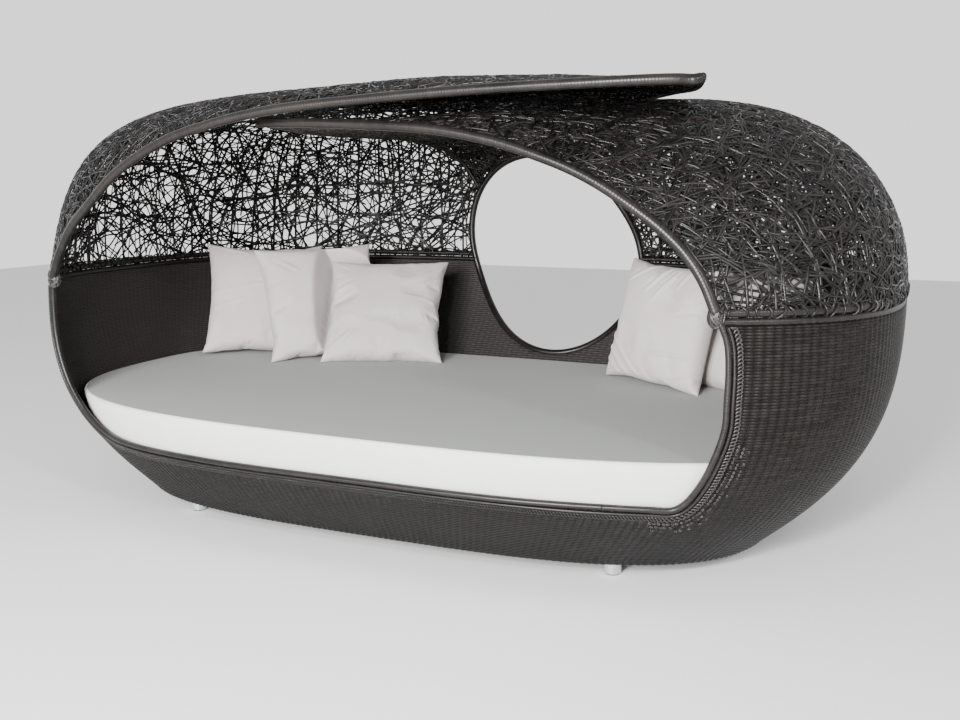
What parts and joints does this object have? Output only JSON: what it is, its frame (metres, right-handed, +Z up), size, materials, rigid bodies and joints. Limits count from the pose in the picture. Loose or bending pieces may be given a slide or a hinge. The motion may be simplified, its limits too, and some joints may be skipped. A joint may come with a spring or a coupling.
{
  "type": "outdoor daybed with canopy",
  "caption": "Woven outdoor daybed: a capsule-shaped nest shell under a canopy of two overlapping open-weave leaves, with a porthole in the back, a mattress and scatter cushions.",
  "frame": {"origin": "on the ground under the middle of the whole piece's length and depth", "axes": "+X along the length, to the right as seen from the front; +Y towards the back; +Z up"},
  "size_m": [2.8, 1.6872, 1.3499],
  "materials": {
    "woven_rattan": "dark espresso synthetic rattan strand, semi-gloss",
    "wrapped_rattan": "synthetic rattan tape wound on tube, semi-gloss",
    "frame_tube": "dark powder coat",
    "deck_board": "dark stained outdoor board",
    "foot_aluminium": "brushed",
    "foot_hardware": "plain stainless",
    "glide_plastic": "moulded, matt",
    "mattress_cover": "off-white outdoor canvas",
    "cushion_cover": "warm off-white cotton"
  },
  "bodies": {
    "shell": {"nest_shell": "woven_rattan", "mouth_edge_left": "wrapped_rattan", "lip_rail": "wrapped_rattan", "mouth_edge_right": "wrapped_rattan", "lower_belt_rail_left": "wrapped_rattan", "upper_belt_rail_left": "wrapped_rattan", "lower_belt_rail_right": "wrapped_rattan", "upper_belt_rail_right": "wrapped_rattan", "porthole_ring_upper": "wrapped_rattan", "porthole_ring_lower": "wrapped_rattan", "canopy_leaf_left": "woven_rattan", "canopy_leaf_right": "woven_rattan", "left_leaf_front_rim": "wrapped_rattan", "left_leaf_rear_rim": "wrapped_rattan", "right_leaf_front_rim": "wrapped_rattan", "right_leaf_rear_rim": "wrapped_rattan", "base_ring": "frame_tube", "deck_ring": "frame_tube", "frame_post_1": "frame_tube", "frame_post_2": "frame_tube", "frame_post_3": "frame_tube", "frame_post_4": "frame_tube", "frame_post_5": "frame_tube", "frame_post_6": "frame_tube", "frame_post_7": "frame_tube", "frame_post_8": "frame_tube", "deck_beam_left": "frame_tube", "deck_beam_middle": "frame_tube", "deck_beam_right": "frame_tube", "deck_panel": "deck_board", "foot_beam_left": "frame_tube", "foot_beam_right": "frame_tube", "glide_front_left": "glide_plastic", "foot_front_left": "foot_aluminium", "foot_plate_front_left": "foot_hardware", "foot_bolt_front_left": "foot_hardware", "glide_front_right": "glide_plastic", "foot_front_right": "foot_aluminium", "foot_plate_front_right": "foot_hardware", "foot_bolt_front_right": "foot_hardware", "glide_back_left": "glide_plastic", "foot_back_left": "foot_aluminium", "foot_plate_back_left": "foot_hardware", "foot_bolt_back_left": "foot_hardware", "glide_back_right": "glide_plastic", "foot_back_right": "foot_aluminium", "foot_plate_back_right": "foot_hardware", "foot_bolt_back_right": "foot_hardware"},
    "mattress": {"mattress": "mattress_cover"},
    "cushion_left_end": {"cushion_left_end": "cushion_cover"},
    "cushion_left_middle": {"cushion_left_middle": "cushion_cover"},
    "cushion_left_front": {"cushion_left_front": "cushion_cover"},
    "cushion_right_end": {"cushion_right_end": "cushion_cover"},
    "cushion_right_front": {"cushion_right_front": "cushion_cover"}
  },
  "joints": [
    {"name": "mattress_lift", "type": "slide", "parent": "shell", "child": "mattress", "axis": [0, 0, 1], "range_m": [0, 0.06]},
    {"name": "cushion_left_end_lift", "type": "slide", "parent": "mattress", "child": "cushion_left_end", "axis": [0.3388, -0.4952, 0.8], "range_m": [0, 0.1]},
    {"name": "cushion_left_middle_lift", "type": "slide", "parent": "cushion_left_end", "child": "cushion_left_middle", "axis": [0.4099, -0.4382, 0.8], "range_m": [0, 0.1]},
    {"name": "cushion_left_front_lift", "type": "slide", "parent": "cushion_left_middle", "child": "cushion_left_front", "axis": [0.2091, -0.5624, 0.8], "range_m": [0, 0.15]},
    {"name": "cushion_right_end_lift", "type": "slide", "parent": "mattress", "child": "cushion_right_end", "axis": [-0.3187, -0.5084, 0.8], "range_m": [0, 0.1]},
    {"name": "cushion_right_front_lift", "type": "slide", "parent": "cushion_right_end", "child": "cushion_right_front", "axis": [-0.3002, -0.5195, 0.8], "range_m": [0, 0.15]}
  ]
}
